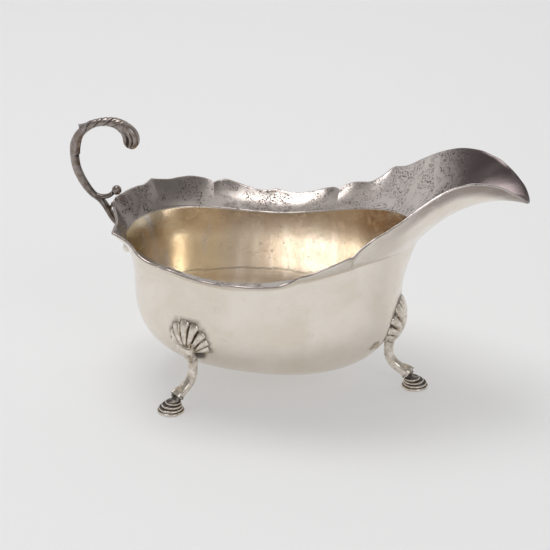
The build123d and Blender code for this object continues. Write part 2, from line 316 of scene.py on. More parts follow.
def cast_silver(look):
    """Castings: bright on the high places, black in the grooves, with painted shade on the sides facing
    the bowl and where the cup meets the stem.
    """
    material = bpy.data.materials.new("tarnished_casting")
    f = Finish(material)
    place = f.place()
    groove_and_shade = f.attribute("groove_and_shade")
    mottle = f.grain(place, 0.5, 5.0, 0.65)
    fine = f.grain(place, 3.0, 3.0, 0.6)
    colour = f.mix(mottle.step(0.35, 0.65), look.silver, look.cast_warm)
    # Dark marks: tarnish in the grooves, painted shade on the sides facing the bowl and at joints
    dark_tarnish_and_shade = (groove_and_shade + (mottle - 0.5) * 0.9).step(0.16, 0.7)
    colour = f.mix(dark_tarnish_and_shade * 0.92, colour, look.tarnish_black)
    rough = 0.18 + mottle * 0.14 + dark_tarnish_and_shade * 0.3
    normal = f.bump(mottle, 0.4, 0.12)
    f.metal(colour, rough, f.bump(fine, 0.3, 0.02, normal))
    return material


def handle_silver(look):
    """The handle is duller and more purple than the legs."""
    material = bpy.data.materials.new("tarnished_handle")
    f = Finish(material)
    place = f.place()
    groove_and_shade = f.attribute("groove_and_shade")
    mottle = f.grain(place, 0.42, 5.0, 0.65)
    fine = f.grain(place, 2.6, 3.0, 0.6)
    low = f.axis(place, "Z").step(*STEM_DARK_Z)
    colour = f.mix(mottle.step(0.4, 0.6), look.handle_grey, look.handle_warm)
    colour = f.mix(low * 0.45, colour, look.tarnish_black)
    # Dark marks: tarnish in the grooves, painted shade on the inner sides and at joints
    dark_tarnish_and_shade = (groove_and_shade + (mottle - 0.5) * 0.8).step(0.15, 0.8)
    colour = f.mix(dark_tarnish_and_shade * 0.85, colour, look.tarnish_black)
    colour = f.mix(f.axis(place, "Z").step(*BRACKET_CLEAN_Z), colour, look.silver)
    rough = 0.22 + mottle * 0.16 + dark_tarnish_and_shade * 0.25
    normal = f.bump(mottle, 0.45, 0.14)
    f.metal(colour, rough, f.bump(fine, 0.3, 0.02, normal))
    return material


FINISHES = {"tarnished_sheet": sheet_silver, "tarnished_casting": cast_silver,
            "tarnished_handle": handle_silver}


def finish(name):
    if name not in bpy.data.materials:
        FINISHES[name](bpy.context.scene.boat_finish)
    return bpy.data.materials[name]


# ---------------------------------------------------------------- curves and meshes
def smooth_step(share):
    share = min(max(share, 0.0), 1.0)
    return share * share * (3 - 2 * share)


def spline(points, share):
    """Catmull-Rom through a list of tuples, share 0 to 1 over its whole length in points."""
    last = len(points) - 1
    place = min(max(share, 0.0), 1.0) * last
    i = min(int(place), last - 1)
    t = place - i
    a, b, c, d = (points[min(max(i + k, 0), last)] for k in (-1, 0, 1, 2))
    return tuple(0.5 * (2 * q + (r - p) * t + (2 * p - 5 * q + 4 * r - s) * t * t
                        + (3 * q - p - 3 * r + s) * t ** 3)
                 for p, q, r, s in zip(a, b, c, d))


def new_piece(name, points, faces, material, nodes, marks=None):
    """Mesh object from points in millimetres, riding on the one rigid body."""
    mesh = bpy.data.meshes.new(name)
    mesh.from_pydata([Vector(p) * MM for p in points], [], faces)
    solid = bmesh.new()
    solid.from_mesh(mesh)
    bmesh.ops.recalc_face_normals(solid, faces=solid.faces)
    solid.to_mesh(mesh)
    solid.free()
    for mark, values in (marks or {}).items():
        mesh.attributes.new(mark, "FLOAT", "POINT").data.foreach_set("value", values)
    mesh.update()
    for face in mesh.polygons:
        face.use_smooth = True
    piece = bpy.data.objects.new(name, mesh)
    bpy.context.scene.collection.objects.link(piece)
    mesh.materials.append(finish(material))
    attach(piece, "root")
    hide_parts(*nodes)
    return piece


def grid_faces(rows, columns, closed, start=0):
    """Quads over a grid of points kept row by row."""
    faces = []
    for r in range(rows - 1):
        for c in range(columns if closed else columns - 1):
            after = (c + 1) % columns
            faces.append((start + r * columns + c, start + r * columns + after,
                          start + (r + 1) * columns + after, start + (r + 1) * columns + c))
    return faces


class Shape:
    """Points, faces and dark marks of a piece made of several closed skins: groove tarnish and painted
    shade.
    """

    def __init__(self):
        self.points, self.faces, self.groove_and_shade = [], [], []

    def skin(self, rings, groove_and_shade=None):
        """Close a stack of rings, each a list of points, with a fan over both ends."""
        start, size = len(self.points), len(rings[0])
        for r, ring in enumerate(rings):
            self.points += ring
            self.groove_and_shade += groove_and_shade[r] if groove_and_shade else [0.0] * size
        self.faces += grid_faces(len(rings), size, True, start)
        for r, flip in ((0, True), (len(rings) - 1, False)):
            centre = sum((Vector(p) for p in rings[r]), Vector()) / size
            self.points.append(centre)
            self.groove_and_shade.append(self.groove_and_shade[start + r * size])
            hub = len(self.points) - 1
            for c in range(size):
                edge = (start + r * size + c, start + r * size + (c + 1) % size)
                self.faces.append((*(reversed(edge) if flip else edge), hub))

    def moved(self, matrix):
        self.points = [matrix @ Vector(p) for p in self.points]
        if matrix.determinant() < 0:
            self.faces = [tuple(reversed(face)) for face in self.faces]

    def piece(self, name, material, nodes):
        return new_piece(name, self.points, self.faces, material, nodes,
                         {"groove_and_shade": self.groove_and_shade})


def rail(points, count):
    """Centre, heading and share for even steps along a rail of (x, z, ...) points."""
    steps = []
    for i in range(count):
        share = i / (count - 1)
        before, after = spline(points, share - 0.004), spline(points, share + 0.004)
        heading = Vector((after[0] - before[0], 0, after[1] - before[1])).normalized()
        steps.append((spline(points, share), heading, share))
    return steps


# ---------------------------------------------------------------- bowl geometry, millimetres
def crease_height(x):
    if x < CREASE_LOW_X:
        share = (CREASE_LOW_X - x) / (CREASE_LOW_X - CREASE_REAR_X)
        return CREASE_LOW_Z + CREASE_REAR_RISE * smooth_step(share)
    share = (x - CREASE_LOW_X) / (CREASE_FRONT_X - CREASE_LOW_X)
    return CREASE_LOW_Z + CREASE_FRONT_RISE * smooth_step(share)


def superellipse(angle, rear, front, half_width):
    """Point on an oval with different half lengths toward the rear and the front."""
    c, s = cos(radians(angle)), sin(radians(angle))
    length = front if c > 0 else rear
    x = BOWL_CENTRE_X + length * copysign(abs(c) ** (2 / PLAN_POWER), c)
    return x, half_width * copysign(abs(s) ** (2 / PLAN_POWER), s)


def wall_point(angle, z, inset, full=None):
    """Point on the bowl wall. full overrides the plan size, for the flat bottom."""
    if full is None:
        depth = max(0.0, BOWL_WIDEST_Z - z) / (BOWL_WIDEST_Z - BOWL_BOTTOM_Z - inset)
        full = (1 - min(depth, 1.0) ** BELLY_POWER) ** (1 / BELLY_POWER)
    rear_lean = REAR_LEAN * (max(0.0, z - REAR_LEAN_FROM_Z) / REAR_LEAN_RISE) ** 2
    front_lean = FRONT_LEAN * (max(0.0, z - FRONT_LEAN_FROM_Z) / FRONT_LEAN_RISE) ** 2
    rear = BOWL_HALF_LENGTH * full + rear_lean - inset
    front = BOWL_FRONT_LENGTH * full + front_lean - inset
    x, y = superellipse(angle, max(rear, 0.01), max(front, 0.01),
                        max(BOWL_HALF_WIDTH * full - inset, 0.01))
    return Vector((x, y, z))


def station_at(place):
    """Crease angle, edge point and bulge at a place counted in stations from the rear."""
    rows = [(angle, *edge, bulge) for angle, edge, bulge in FLARE_STATIONS]
    turned = [(360 - rows[1][0], rows[1][1], -rows[1][2], *rows[1][3:])]
    closing = [(-rows[-2][0], rows[-2][1], -rows[-2][2], *rows[-2][3:])]
    rows = turned + rows + closing
    angle, x, y, z, bulge = spline(rows, (place + 1) / (len(rows) - 1))
    return angle, Vector((x, y, z)), bulge


def flare_point(place, share):
    """Point on the flare's inner skin, share 0 at the crease and 1 at the untrimmed edge."""
    angle, edge, bulge = station_at(place)
    x, y = superellipse(angle, BOWL_CENTRE_X - CREASE_REAR_X, CREASE_FRONT_X - BOWL_CENTRE_X,
                        BOWL_HALF_WIDTH - 1.0)
    start = Vector((x, y, crease_height(x)))
    return start.lerp(edge, share) + Vector((0, 0, 4 * bulge * share * (1 - share)))


def rim_outline(spacing):
    """Rim points along one half, about one spacing apart, corners kept."""
    points = []
    for run in RIM_RUNS:
        length = sum(hypot(b[0] - a[0], b[1] - a[1]) for a, b in zip(run, run[1:]))
        steps = max(4, ceil(length / spacing))
        points += [spline(run, i / steps) for i in range(steps)]
    return points + [RIM_RUNS[-1][-1]]


def rim_column(x, y):
    """Place and share on the flare under one plan point of the rim."""
    low, high = 0.0, len(FLARE_STATIONS) - 1.0
    for _ in range(40):
        place = (low + high) / 2
        foot, edge = flare_point(place, 0.0), flare_point(place, 1.0)
        turn = (edge.x - foot.x) * (y - foot.y) - (edge.y - foot.y) * (x - foot.x)
        if turn < 0:
            low = place
        else:
            high = place
    reach = (edge.x - foot.x) ** 2 + (edge.y - foot.y) ** 2
    share = ((x - foot.x) * (edge.x - foot.x) + (y - foot.y) * (edge.y - foot.y)) / reach
    return place, share


def spread(count, start, stop, crowd=0.0):
    """Even numbers between two, drawn toward the ends by crowd."""
    for i in range(count):
        t = i / (count - 1)
        yield start + (stop - start) * (t + crowd * (smooth_step(t) - t))


def inner_column(place, share, lift, spare, shape):
    """Inner skin from the middle of the floor to the rim, for one column."""
    angle = station_at(place)[0]
    floor_z = BOWL_BOTTOM_Z + shape.sheet
    deep = BOWL_WIDEST_Z - floor_z
    crease = flare_point(place, 0.0)
    points, inside = [], []
    for full in spread(7, 0.04, shape.flat * 0.94):
        points.append(wall_point(angle, floor_z, shape.sheet, full))
    points[0] = Vector((BOWL_CENTRE_X, 0, floor_z)).lerp(points[1], 0.2)
    turn_low = acos(shape.flat ** 1.5)
    for turn in spread(shape.belly_rows, turn_low, 0.0):
        full = cos(turn) ** (2 / BELLY_POWER)
        z = BOWL_WIDEST_Z - deep * max(1 - full ** BELLY_POWER, 0.0) ** (1 / BELLY_POWER)
        points.append(wall_point(angle, z, shape.sheet, full))
    top = crease.z - shape.fold
    gap = crease - wall_point(angle, crease.z, shape.sheet)
    for z in spread(shape.wall_rows, BOWL_WIDEST_Z, top):
        if z > BOWL_WIDEST_Z:
            weight = smooth_step((z - BOWL_WIDEST_Z) / (crease.z - BOWL_WIDEST_Z))
            points.append(wall_point(angle, z, shape.sheet) + gap * weight)
    inside += [1.0] * len(points)
    end = flare_point(place, share)
    begin = min(shape.fold / (end - crease).length, 0.4) * share

    hollow = shape.concave * smooth_step((angle - 8) / 25)

    def lifted(s):
        rise = lift * s * s - 4 * hollow * s * max(1 - s, 0.0) + spare * (s / share) ** 5
        return flare_point(place, s) + Vector((0, 0, rise))

    before, after = points[-1], lifted(begin)
    for t in spread(6, 0.15, 1.0):
        points.append(before * (1 - t) ** 2 + crease * (2 * t * (1 - t)) + after * t * t)
        inside.append(1.0 - smooth_step(t * 1.8))
    for s in list(spread(shape.flare_rows, begin, share))[1:]:
        points.append(lifted(s))
        inside.append(0.0)
    return points, inside


def grid_normals(columns):
    """Unit normals of a closed grid of columns, pointing up and inward."""
    count, rows = len(columns), len(columns[0])
    normals = []
    for c in range(count):
        left, right = columns[c - 1], columns[(c + 1) % count]
        line = []
        for r in range(rows):
            across = right[r] - left[r]
            along = columns[c][min(r + 1, rows - 1)] - columns[c][max(r - 1, 0)]
            normal = across.cross(along)
            line.append(normal.normalized() if normal.length > 1e-9 else Vector((0, 0, 1)))
        normals.append(line)
    return normals


class Leg:
    """Where one leg stands and how its shell lies on the bowl."""

    def __init__(self, foot, turn, shell_turn, size=1.0, lean=0.0):
        self.size, self.lean = size, radians(lean)
        self.matrix = Matrix.Translation(Vector((*foot, 0))) @ Matrix.Rotation(radians(turn), 4, "Z")
        heading = radians(turn + shell_turn)
        self.out = Vector((cos(heading), sin(heading), 0))
        self.across = Vector((-sin(heading), cos(heading), 0))
        self.hub = self.matrix @ Vector((SHELL_HUB[0], 0, SHELL_HUB[1]))

    def on_wall(self, u, v):
        """Point of the bowl's outer wall, u across and v above the hub, and its normal."""
        z = self.hub.z + v
        middle = self.angle_of(u, z)
        point = wall_point(middle, z, 0.0)
        along = wall_point(middle + 0.4, z, 0.0) - wall_point(middle - 0.4, z, 0.0)
        low = max(z - 0.4, BOWL_BOTTOM_Z + 0.2)
        up = wall_point(middle, z + 0.4, 0.0) - wall_point(middle, low, 0.0)
        return point, along.cross(up).normalized()

    def angle_of(self, u, z):
        centre = degrees_of(self.out)
        low, high = centre - 55, centre + 55
        for _ in range(30):
            middle = (low + high) / 2
            if (wall_point(middle, z, 0.0) - self.hub).dot(self.across) < u:
                low = middle
            else:
                high = middle
        return (low + high) / 2

    def reach(self, point):
        """Polar place of a point in front of the shell: distance from the hub, angle from up."""
        offset = point - self.hub
        u, v = offset.dot(self.across), offset.z
        return hypot(u, v), atan2(u, v) - self.lean, offset.dot(self.out)


def degrees_of(heading):
    return atan2(heading.y, heading.x) * 180 / pi


# Legs: each drawn with its foot over the origin and +X pointing away from the bowl
SHELL_HUB = (-8.2, 23.2)
FRONT_FOOT = (48.8, 0.0)
REAR_FOOT = (-40.2, 40.4)
REAR_LEG_TURN, REAR_SHELL_TURN = 130, -14
REAR_SHELL_SIZE = 0.82      # rear shells against the front one
REAR_SHELL_LEAN = 7         # degrees that the rear shells lean toward the handle
LEGS = {
    "front": Leg(FRONT_FOOT, 0, 0),
    "left": Leg(REAR_FOOT, REAR_LEG_TURN, REAR_SHELL_TURN, REAR_SHELL_SIZE, REAR_SHELL_LEAN),
    "right": Leg((REAR_FOOT[0], -REAR_FOOT[1]), -REAR_LEG_TURN, -REAR_SHELL_TURN,
                 REAR_SHELL_SIZE, -REAR_SHELL_LEAN),
}
SHELL_RIBS = [(-84, 9.6), (-63, 11.2), (-42, 13.2), (-21, 15.2), (0, 16.0),
              (21, 15.2), (42, 13.2), (63, 11.2), (84, 9.6)]
RIB_SPACING = 21


def rib_at(turn):
    """Nearest rib at an angle from up: its length and the offset, -1 to 1 groove to groove."""
    place = (turn * 180 / pi - SHELL_RIBS[0][0]) / RIB_SPACING
    index = min(max(round(place), 0), len(SHELL_RIBS) - 1)
    return SHELL_RIBS[index][1], 2 * (place - index)


def shell_edge(turn):
    """Scalloped outline of the shell, from the hub."""
    length, offset = rib_at(turn)
    return length * (1 - 0.085 * min(abs(offset), 1.2) ** 2.2)


def joint_tarnish_and_shade_at(point, shape):
    """Dark border where castings are soldered on: partly tarnish, partly painted shade where the parts
    meet the bowl.
    """
    dark = 0.0
    for leg in LEGS.values():
        distance, turn, outward = leg.reach(point)
        if outward > -14 and distance < 24:
            edge = leg.size * shell_edge(turn) if abs(turn) < 1.7 else 4.8
            dark = max(dark, 1 - max(0.0, distance - edge) / shape.joint_tarnish_and_shade)
    for x, z in ((BRACKET_BALL[0] - 0.6, BRACKET_BALL[1]), (RIM_REAR_X, SPUR_BALL[1] - 3)):
        gap = (point - Vector((x, 0, z))).length
        dark = max(dark, 1 - max(0.0, gap - 2.0) / (2 * shape.joint_tarnish_and_shade))
    return max(dark, 0.0)


# ---------------------------------------------------------------- handle, in the middle plane
HANDLE_RAIL = [(-78.4, 69.6), (-81.4, 71.8), (-84.6, 76.2), (-86.9, 81.4), (-87.7, 86.8),
               (-87.2, 92.0), (-84.6, 96.7), (-80.2, 100.0), (-75.2, 101.4), (-70.6, 101.2),
               (-67.2, 99.6), (-65.2, 97.4), (-64.5, 95.2), (-64.8, 93.2), (-65.3, 91.4)]
HANDLE_WIDTHS = [3.4, 3.5, 3.6, 3.6, 3.6, 3.7, 3.6, 3.4, 3.4, 3.8, 4.6, 5.2, 5.4, 5.2, 4.6]
HANDLE_DEPTHS = [2.4, 3.0, 3.5, 3.6, 3.7, 3.8, 3.3, 2.8, 2.9, 3.8, 5.2, 6.4, 6.8, 6.2, 5.0]
LEAF_SPAN = (0.445, 0.71)
SPUR_RAIL = [(-81.0, 71.0), (-79.0, 70.4), (-76.8, 70.2), (-74.3, 70.9), (-72.6, 72.3)]
SPUR_BALL = (-71.1, 73.5, 1.9)
BRACKET_RAIL = [(-80.6, 70.8), (-79.0, 69.9), (-77.6, 68.9), (-76.0, 66.9), (-74.3, 64.1),
                (-72.8, 61.6), (-70.4, 58.6), (-68.2, 55.0), (-67.3, 51.6), (-67.0, 49.6)]
BRACKET_BALL = (-67.4, 49.4, 1.89)


def sweep(shape, path, widths, depths, count, sides, profile):
    """Skin along a rail. profile(turn, share) gives across, outward and a dark mark at each point:
    groove tarnish and painted shade.
    """
    rings, groove_and_shade = [], []
    for (x, z, *_), heading, share in rail(path, count):
        out = Vector((-heading.z, 0, heading.x))
        width = spline([(w,) for w in widths], share)[0]
        depth = spline([(d,) for d in depths], share)[0]
        ring, marks = [], []
        for s in range(sides):
            turn = 2 * pi * s / sides
            across, outward, mark = profile(turn, share)
            ring.append(Vector((x, across * width / 2, z)) + out * (outward * depth / 2))
            marks.append(mark)
        rings.append(ring)
        groove_and_shade.append(marks)
    shape.skin(rings, groove_and_shade)


def ball(shape, centre, radius, squash=(1, 1, 1), rows=16, sides=32, mark=0.0):
    rings = []
    for r in range(1, rows):
        turn = pi * r / rows
        rings.append([Vector(centre) + Vector((radius * sin(turn) * cos(2 * pi * s / sides) * squash[0],
                                               radius * sin(turn) * sin(2 * pi * s / sides) * squash[1],
                                               -radius * cos(turn) * squash[2]))
                      for s in range(sides)])
    shape.skin(rings, [[mark] * sides] * (rows - 1))


def round_end(share, length):
    """Factor that rounds off both ends of a sweep over a share of its length."""
    gap = min(share, 1 - share) / length
    return sqrt(max(1 - (1 - min(gap, 1.0)) ** 2, 0.02))


def stem_profile(turn, share):
    """Stem of the handle: ridge along the outside and flat cheeks, then a carved volute."""
    c, s = cos(turn), sin(turn)
    volute = smooth_step((share - 0.66) / 0.16)
    facet = 1 - smooth_step((share - 0.4) / 0.1)
    across = copysign(abs(c) ** (0.92 + 0.4 * facet - 0.3 * volute), c)
    outward = copysign(abs(s) ** (1.0 + 0.35 * facet), s) * (1 - 0.06 * volute)
    channel = exp(-((outward + 0.3) / 0.19) ** 2) + 0.7 * exp(-((outward - 0.3) / 0.08) ** 2)
    across *= 1 - 0.36 * volute * channel
    step = smooth_step((share - 0.29) / 0.008) * (1 - smooth_step((share - 0.34) / 0.08))
    outward -= 0.24 * step * max(-s, 0.0)
    notch = exp(-((share - 0.29) / 0.007) ** 2) * max(-s, 0.0)
    # Dark mark: tarnish in the volute and notch, painted shade on the inner side of the lower stem
    mark = min(volute * channel * 0.85 + notch * 0.8 + 0.45 * facet * max(-s, 0.0), 1.0)
    scale = sqrt(max(1 - max((share - 0.9) / 0.1, 0.0) ** 2, 0.01))
    return across * scale, outward * scale, mark


def leaf_profile(turn, share):
    """Leaf wrapped over the bend: pointed base, slanting grooves that fade to the tip."""
    c, s = cos(turn), sin(turn)
    top = smooth_step((s + 0.75) / 1.2)
    base = exp(-(share / 0.05) ** 2)
    wave = (share * 4.6 - 0.62 * s) % 1.0
    fade = 1 - smooth_step((share - 0.62) / 0.38)
    groove_and_shade = exp(-((wave - 0.5) / 0.12) ** 2) * fade * smooth_step(share / 0.1)
    swell = 0.15 * sin(pi * wave) ** 0.7 * fade
    lift = 1.03 + top * (0.13 * fade + 0.02 + swell - 0.17 * groove_and_shade)
    mark = groove_and_shade * 0.9 * smooth_step((s + 0.8) / 0.3) + (0.7 if share < 0.012 else 0)
    outward = s * lift + 0.5 * base * max(s, 0.0) ** 3
    # Painted shade on the underside of the leaf, with tarnish in its grooves
    return c * lift, outward, min(mark + 0.25 * max(-s, 0.0), 1.0)


def plain_profile(rounding, mark=0.15):
    def profile(turn, share):
        scale = round_end(share, rounding)
        return cos(turn) * scale, sin(turn) * scale, mark
    return profile


# ---------------------------------------------------------------- legs
LEG_RAIL = [(-10.3, 20.2), (-10.7, 18.2), (-10.85, 16.2), (-10.75, 14.0), (-10.1, 11.8),
            (-8.8, 9.8), (-7.0, 8.3), (-5.2, 7.3), (-3.6, 6.4), (-2.7, 5.6)]
LEG_WIDTHS = [4.6, 4.1, 3.9, 3.9, 4.1, 4.3, 4.6, 5.0, 5.7, 6.1]
LEG_DEPTHS = [4.1, 3.8, 3.6, 3.6, 3.8, 4.0, 4.1, 4.4, 5.3, 6.0]
CUP_RAIL = [(-7.4, 26.0), (-7.6, 24.4), (-8.3, 22.9), (-9.3, 21.5), (-10.1, 20.3), (-10.5, 19.4)]
CUP_WIDTHS = [9.6, 9.8, 8.8, 7.0, 5.4, 4.8]
CUP_DEPTHS = [4.4, 4.6, 4.6, 4.5, 4.3, 4.2]
# Rings of a pad from the table up: centre along the leg, radius, height
PAD_RINGS = [(0.0, 5.3, 1.1), (0.0, 4.75, 1.0), (-0.5, 4.0, 1.0), (-1.2, 3.1, 0.9)]
PAD_NECK = (-2.4, 1.9, 2.2)


def leg_profile(turn, share):
    """Stem with a ridge down the front that turns into the two faces of the hoof."""
    c, s = cos(turn), sin(turn)
    hoof = smooth_step((share - 0.55) / 0.35)
    ridge = exp(-(c / 0.32) ** 2) * (1 if s > 0 else 0)
    outward = s * (1 - 0.14 * hoof * (1 if s > 0 else 0)) + (0.1 + 0.2 * hoof) * ridge
    lip = exp(-((share - 0.985) / 0.012) ** 2)
    # Painted shade on the side that faces the bowl
    mark = 0.35 * max(-s, 0.0) + 0.5 * exp(-((share - 0.93) / 0.05) ** 2) * abs(c) ** 2
    mark = min(mark * (1 - lip) + (0.7 if share < 0.03 else 0) + (1.0 if share > 0.996 else 0), 1.0)
    scale = 1 + 0.03 * lip - (0.16 if share > 0.996 else 0)
    return c * scale, outward * scale, mark


def cup_profile(turn, share):
    c, s = cos(turn), sin(turn)
    joint = exp(-((share - 1.0) / 0.07) ** 2)
    # Painted shadow where the cup meets the stem, painted shade on the side facing the bowl
    return c, s, min(0.9 * joint + 0.35 * max(-s, 0.0) + 0.3 * abs(c) ** 6, 1.0)


def pad_profile(rings, neck, sides=64):
    """Stacked beads on a leaning axis."""
    stack, marks = [], []
    z = 0.0
    for centre, radius, height in rings:
        for i in range(9):
            t = i / 8
            swell = sin(pi * min(max(t * 0.9 + 0.05, 0.0), 1.0)) ** 0.5
            r = radius - 0.62 * (1 - swell)
            stack.append((centre, r, z + height * t * 0.96))
            marks.append(0.72 - 0.72 * smooth_step((swell - 0.36) / 0.2))
        z += height
    centre, radius, height = neck
    for t in spread(5, 0.0, 1.0):
        stack.append((centre - 0.2 * t, radius * (1 - 0.12 * sin(pi * t)), z + height * t))
        marks.append(0.55)
    loops = [[Vector((c + r * cos(2 * pi * s / sides), r * sin(2 * pi * s / sides), h))
              for s in range(sides)] for c, r, h in stack]
    return loops, [[m] * sides for m in marks]


def shell_skin(shape, leg, settings):
    """Fan of ribs laid on the bowl wall around the hub."""
    reach = radians(settings.shell_spread)
    rings, groove_and_shade = [], []
    for turn in spread(settings.shell_turns, -reach, reach):
        _, offset = rib_at(turn)
        edge = leg.size * shell_edge(turn)
        cut = exp(-((1 - min(abs(offset), 1.0)) / 0.2) ** 2)
        crown = 1 - 0.12 * min(abs(offset), 1.0) ** 2
        side = 0.58 + 0.42 * cos(turn)
        front, back, marks = [], [], []
        for share in spread(settings.shell_rows, 0.03, 1.0):
            reached = edge * share
            point, normal = leg.on_wall(reached * sin(turn + leg.lean), reached * cos(turn + leg.lean))
            dome = (3.8 + 3.0 * share - 5.8 * share ** 2) * sqrt(max(1 - share ** 9, 0.0))
            depth = cut * smooth_step((share - 0.22) / 0.3)
            height = leg.size * dome * side * (crown - (0.34 + 0.3 * share) * depth)
            front.append(point + normal * (height - 0.3 * (share > 0.995)))
            back.append(point - normal * 0.45)
            marks.append(min(0.7 * depth ** 1.5 + (0.8 if share > 0.98 else 0), 1.0))
        rings.append(front + back[::-1])
        groove_and_shade.append(marks + [1.0] * len(back))
    shape.skin(rings, groove_and_shade)


# ---------------------------------------------------------------- settings
def colour_setting(name, description, default):
    return FloatVectorProperty(name=name, description=description, default=default,
                               subtype="COLOR", min=0.0, max=1.0)


class BoatShape(bpy.types.PropertyGroup):
    """Dimensions in millimetres and mesh fineness of the boat."""
    sheet: FloatProperty(name="Sheet", description="Thickness of the raised sheet, mm", default=1.0)
    fold: FloatProperty(name="Fold", description="Softness of the crease, mm", default=0.9)
    flat: FloatProperty(name="Flat bottom", description="Flat panel as a share of the plan",
                        default=0.35)
    ripple: FloatProperty(name="Ripple", description="Unevenness of the raised sheet, mm",
                          default=0.16)
    # Width of the dark border at castings, which is partly tarnish and partly painted shade
    joint_tarnish_and_shade: FloatProperty(name="Grime", description="Width of the dark border at castings, mm",
                         default=1.3)
    lip: FloatProperty(name="Lip", description="Width of the stain under the spout's lip, mm",
                       default=8.0)
    concave: FloatProperty(name="Concave", description="Hollow of the flare, mm", default=1.5)
    rim_spacing: FloatProperty(name="Rim spacing", description="Distance of rim points, mm",
                               default=0.8)
    bend: FloatProperty(name="Bend", description="Rise of the bent stretch of the lip, mm",
                        default=1.6)
    lift_span: IntProperty(name="Lift span", description="Rim points averaged on each side",
                           default=9)
    belly_rows: IntProperty(name="Belly rows", description="Rows under the belly", default=30)
    wall_rows: IntProperty(name="Wall rows", description="Rows from belly to crease", default=20)
    flare_rows: IntProperty(name="Flare rows", description="Rows from crease to rim", default=26)
    shell_turns: IntProperty(name="Shell turns", description="Points around a shell", default=181)
    shell_rows: IntProperty(name="Shell rows", description="Rings of a shell", default=26)
    shell_spread: FloatProperty(name="Shell spread", description="Half angle of a shell, degrees",
                                default=94.5)


class BoatFinish(bpy.types.PropertyGroup):
    """Colours of the silver and its tarnish, and of the painted shade on the rim and the spout's tip.
    """
    silver: colour_setting("Silver", "Clean silver", (0.86, 0.80, 0.725))
    warm_silver: colour_setting("Warm silver", "Thin yellow film", (0.79, 0.715, 0.615))
    lip_brown: colour_setting("Lip brown", "Under the spout's lip", (0.36, 0.30, 0.27))
    cast_warm: colour_setting("Cast silver", "Thin film on castings", (0.62, 0.55, 0.46))
    handle_grey: colour_setting("Handle grey", "Grey film on the handle", (0.37, 0.325, 0.31))
    handle_warm: colour_setting("Handle brown", "Brown film on the handle", (0.27, 0.22, 0.19))
    tarnish_light: colour_setting("Light tarnish", "Inside, lighter", (0.92, 0.85, 0.76))
    tarnish_brown: colour_setting("Brown tarnish", "Inside, darker", (0.80, 0.71, 0.61))
    # Bright gold streaks at the rear of the inside
    gold_streak: colour_setting("Gold tarnish", "Streak at the rear", (0.98, 0.84, 0.60))
    tarnish_umber: colour_setting("Umber tarnish", "Band under the crease", (0.50, 0.41, 0.32))
    tarnish_rust: colour_setting("Rust tarnish", "Stain at the throat", (0.42, 0.28, 0.18))
    tarnish_black: colour_setting("Black tarnish", "Grooves and pits", (0.05, 0.04, 0.035))
    rim_grey: colour_setting("Rim grey", "Flared rim, lighter", (0.63, 0.575, 0.53))
    rim_purple: colour_setting("Rim purple", "Flared rim, darker", (0.47, 0.41, 0.38))
    # Painted shade on the upper flare and on the flare beside the handle
    rim_painted_shade: colour_setting("Rim dark", "Rim beside the handle", (0.32, 0.28, 0.265))
    # Also the painted highlight on the rim edge toward the spout
    rim_light: colour_setting("Rim light", "Flared rim beside the spout", (0.7, 0.645, 0.625))
    # Painted shade at the end of the spout and on the rim edge at the tip
    tip_painted_shade: colour_setting("Tip grey", "End of the spout", (0.16, 0.13, 0.13))


class BoatStage(bpy.types.PropertyGroup):
    """Light, floor and camera."""
    sky: FloatProperty(name="Sky", description="Brightness straight up", default=0.3)
    sky_back: FloatProperty(name="Sky behind", description="Brightness up and behind", default=0.66)
    right_shade: FloatProperty(name="Right shade", description="How much darker the right is",
                               default=0.3)
    walls: FloatProperty(name="Walls", description="Brightness of the room around", default=0.74)
    paper: colour_setting("Paper", "Floor and backdrop", (0.60, 0.60, 0.605))
    # Painted shade: the floor's colour toward the right, darker than the paper
    paper_right_shade: colour_setting("Paper right", "Floor toward the right", (0.5, 0.5, 0.505))
    glow: FloatProperty(name="Glow", description="Light coming through the floor", default=0.3)
    key_power: FloatProperty(name="Key light", description="Softbox power", default=6.5, unit="POWER")
    camera: FloatVectorProperty(name="Camera", description="Camera place", subtype="TRANSLATION",
                                unit="LENGTH", default=(0.14847, -0.73379, 0.38292))
    target: FloatVectorProperty(name="Target", description="Point looked at", unit="LENGTH",
                                subtype="TRANSLATION", default=(-0.00766, -0.00003, 0.04289))
    lens: FloatProperty(name="Lens", description="Focal length, mm on a 36 mm sensor",
                        default=137.45)


